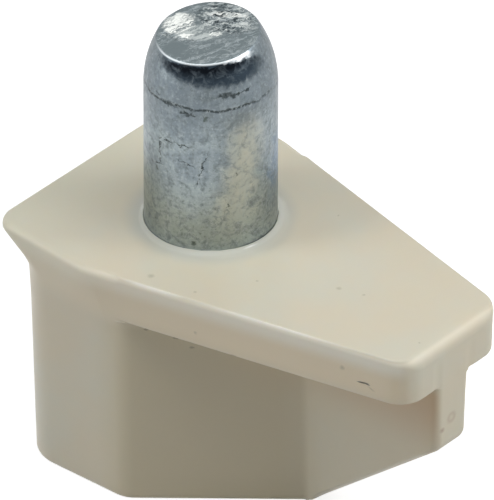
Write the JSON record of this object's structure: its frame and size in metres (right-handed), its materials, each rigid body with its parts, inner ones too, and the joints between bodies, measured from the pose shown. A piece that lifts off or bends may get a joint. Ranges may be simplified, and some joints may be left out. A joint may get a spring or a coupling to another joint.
{
  "type": "shelf support pin",
  "caption": "Moulded plastic shelf support with a seat, lip and stiffening web, and a round-nosed steel pin that plugs into a cabinet side.",
  "frame": {"origin": "on the pin's axis, in the plane of the mounting face", "axes": "+Z runs along the pin to its tip, +X points to the plate's narrow end and the seat faces -X, +Y runs across the plate"},
  "size_m": [0.0179, 0.0114, 0.0186],
  "materials": {
    "plastic": "ivory moulded plastic with a satin skin",
    "steel": "zinc plated, dulled and mottled"
  },
  "bodies": {
    "root": {"bracket_body": "plastic", "steel_pin": "steel"}
  },
  "joints": []
}
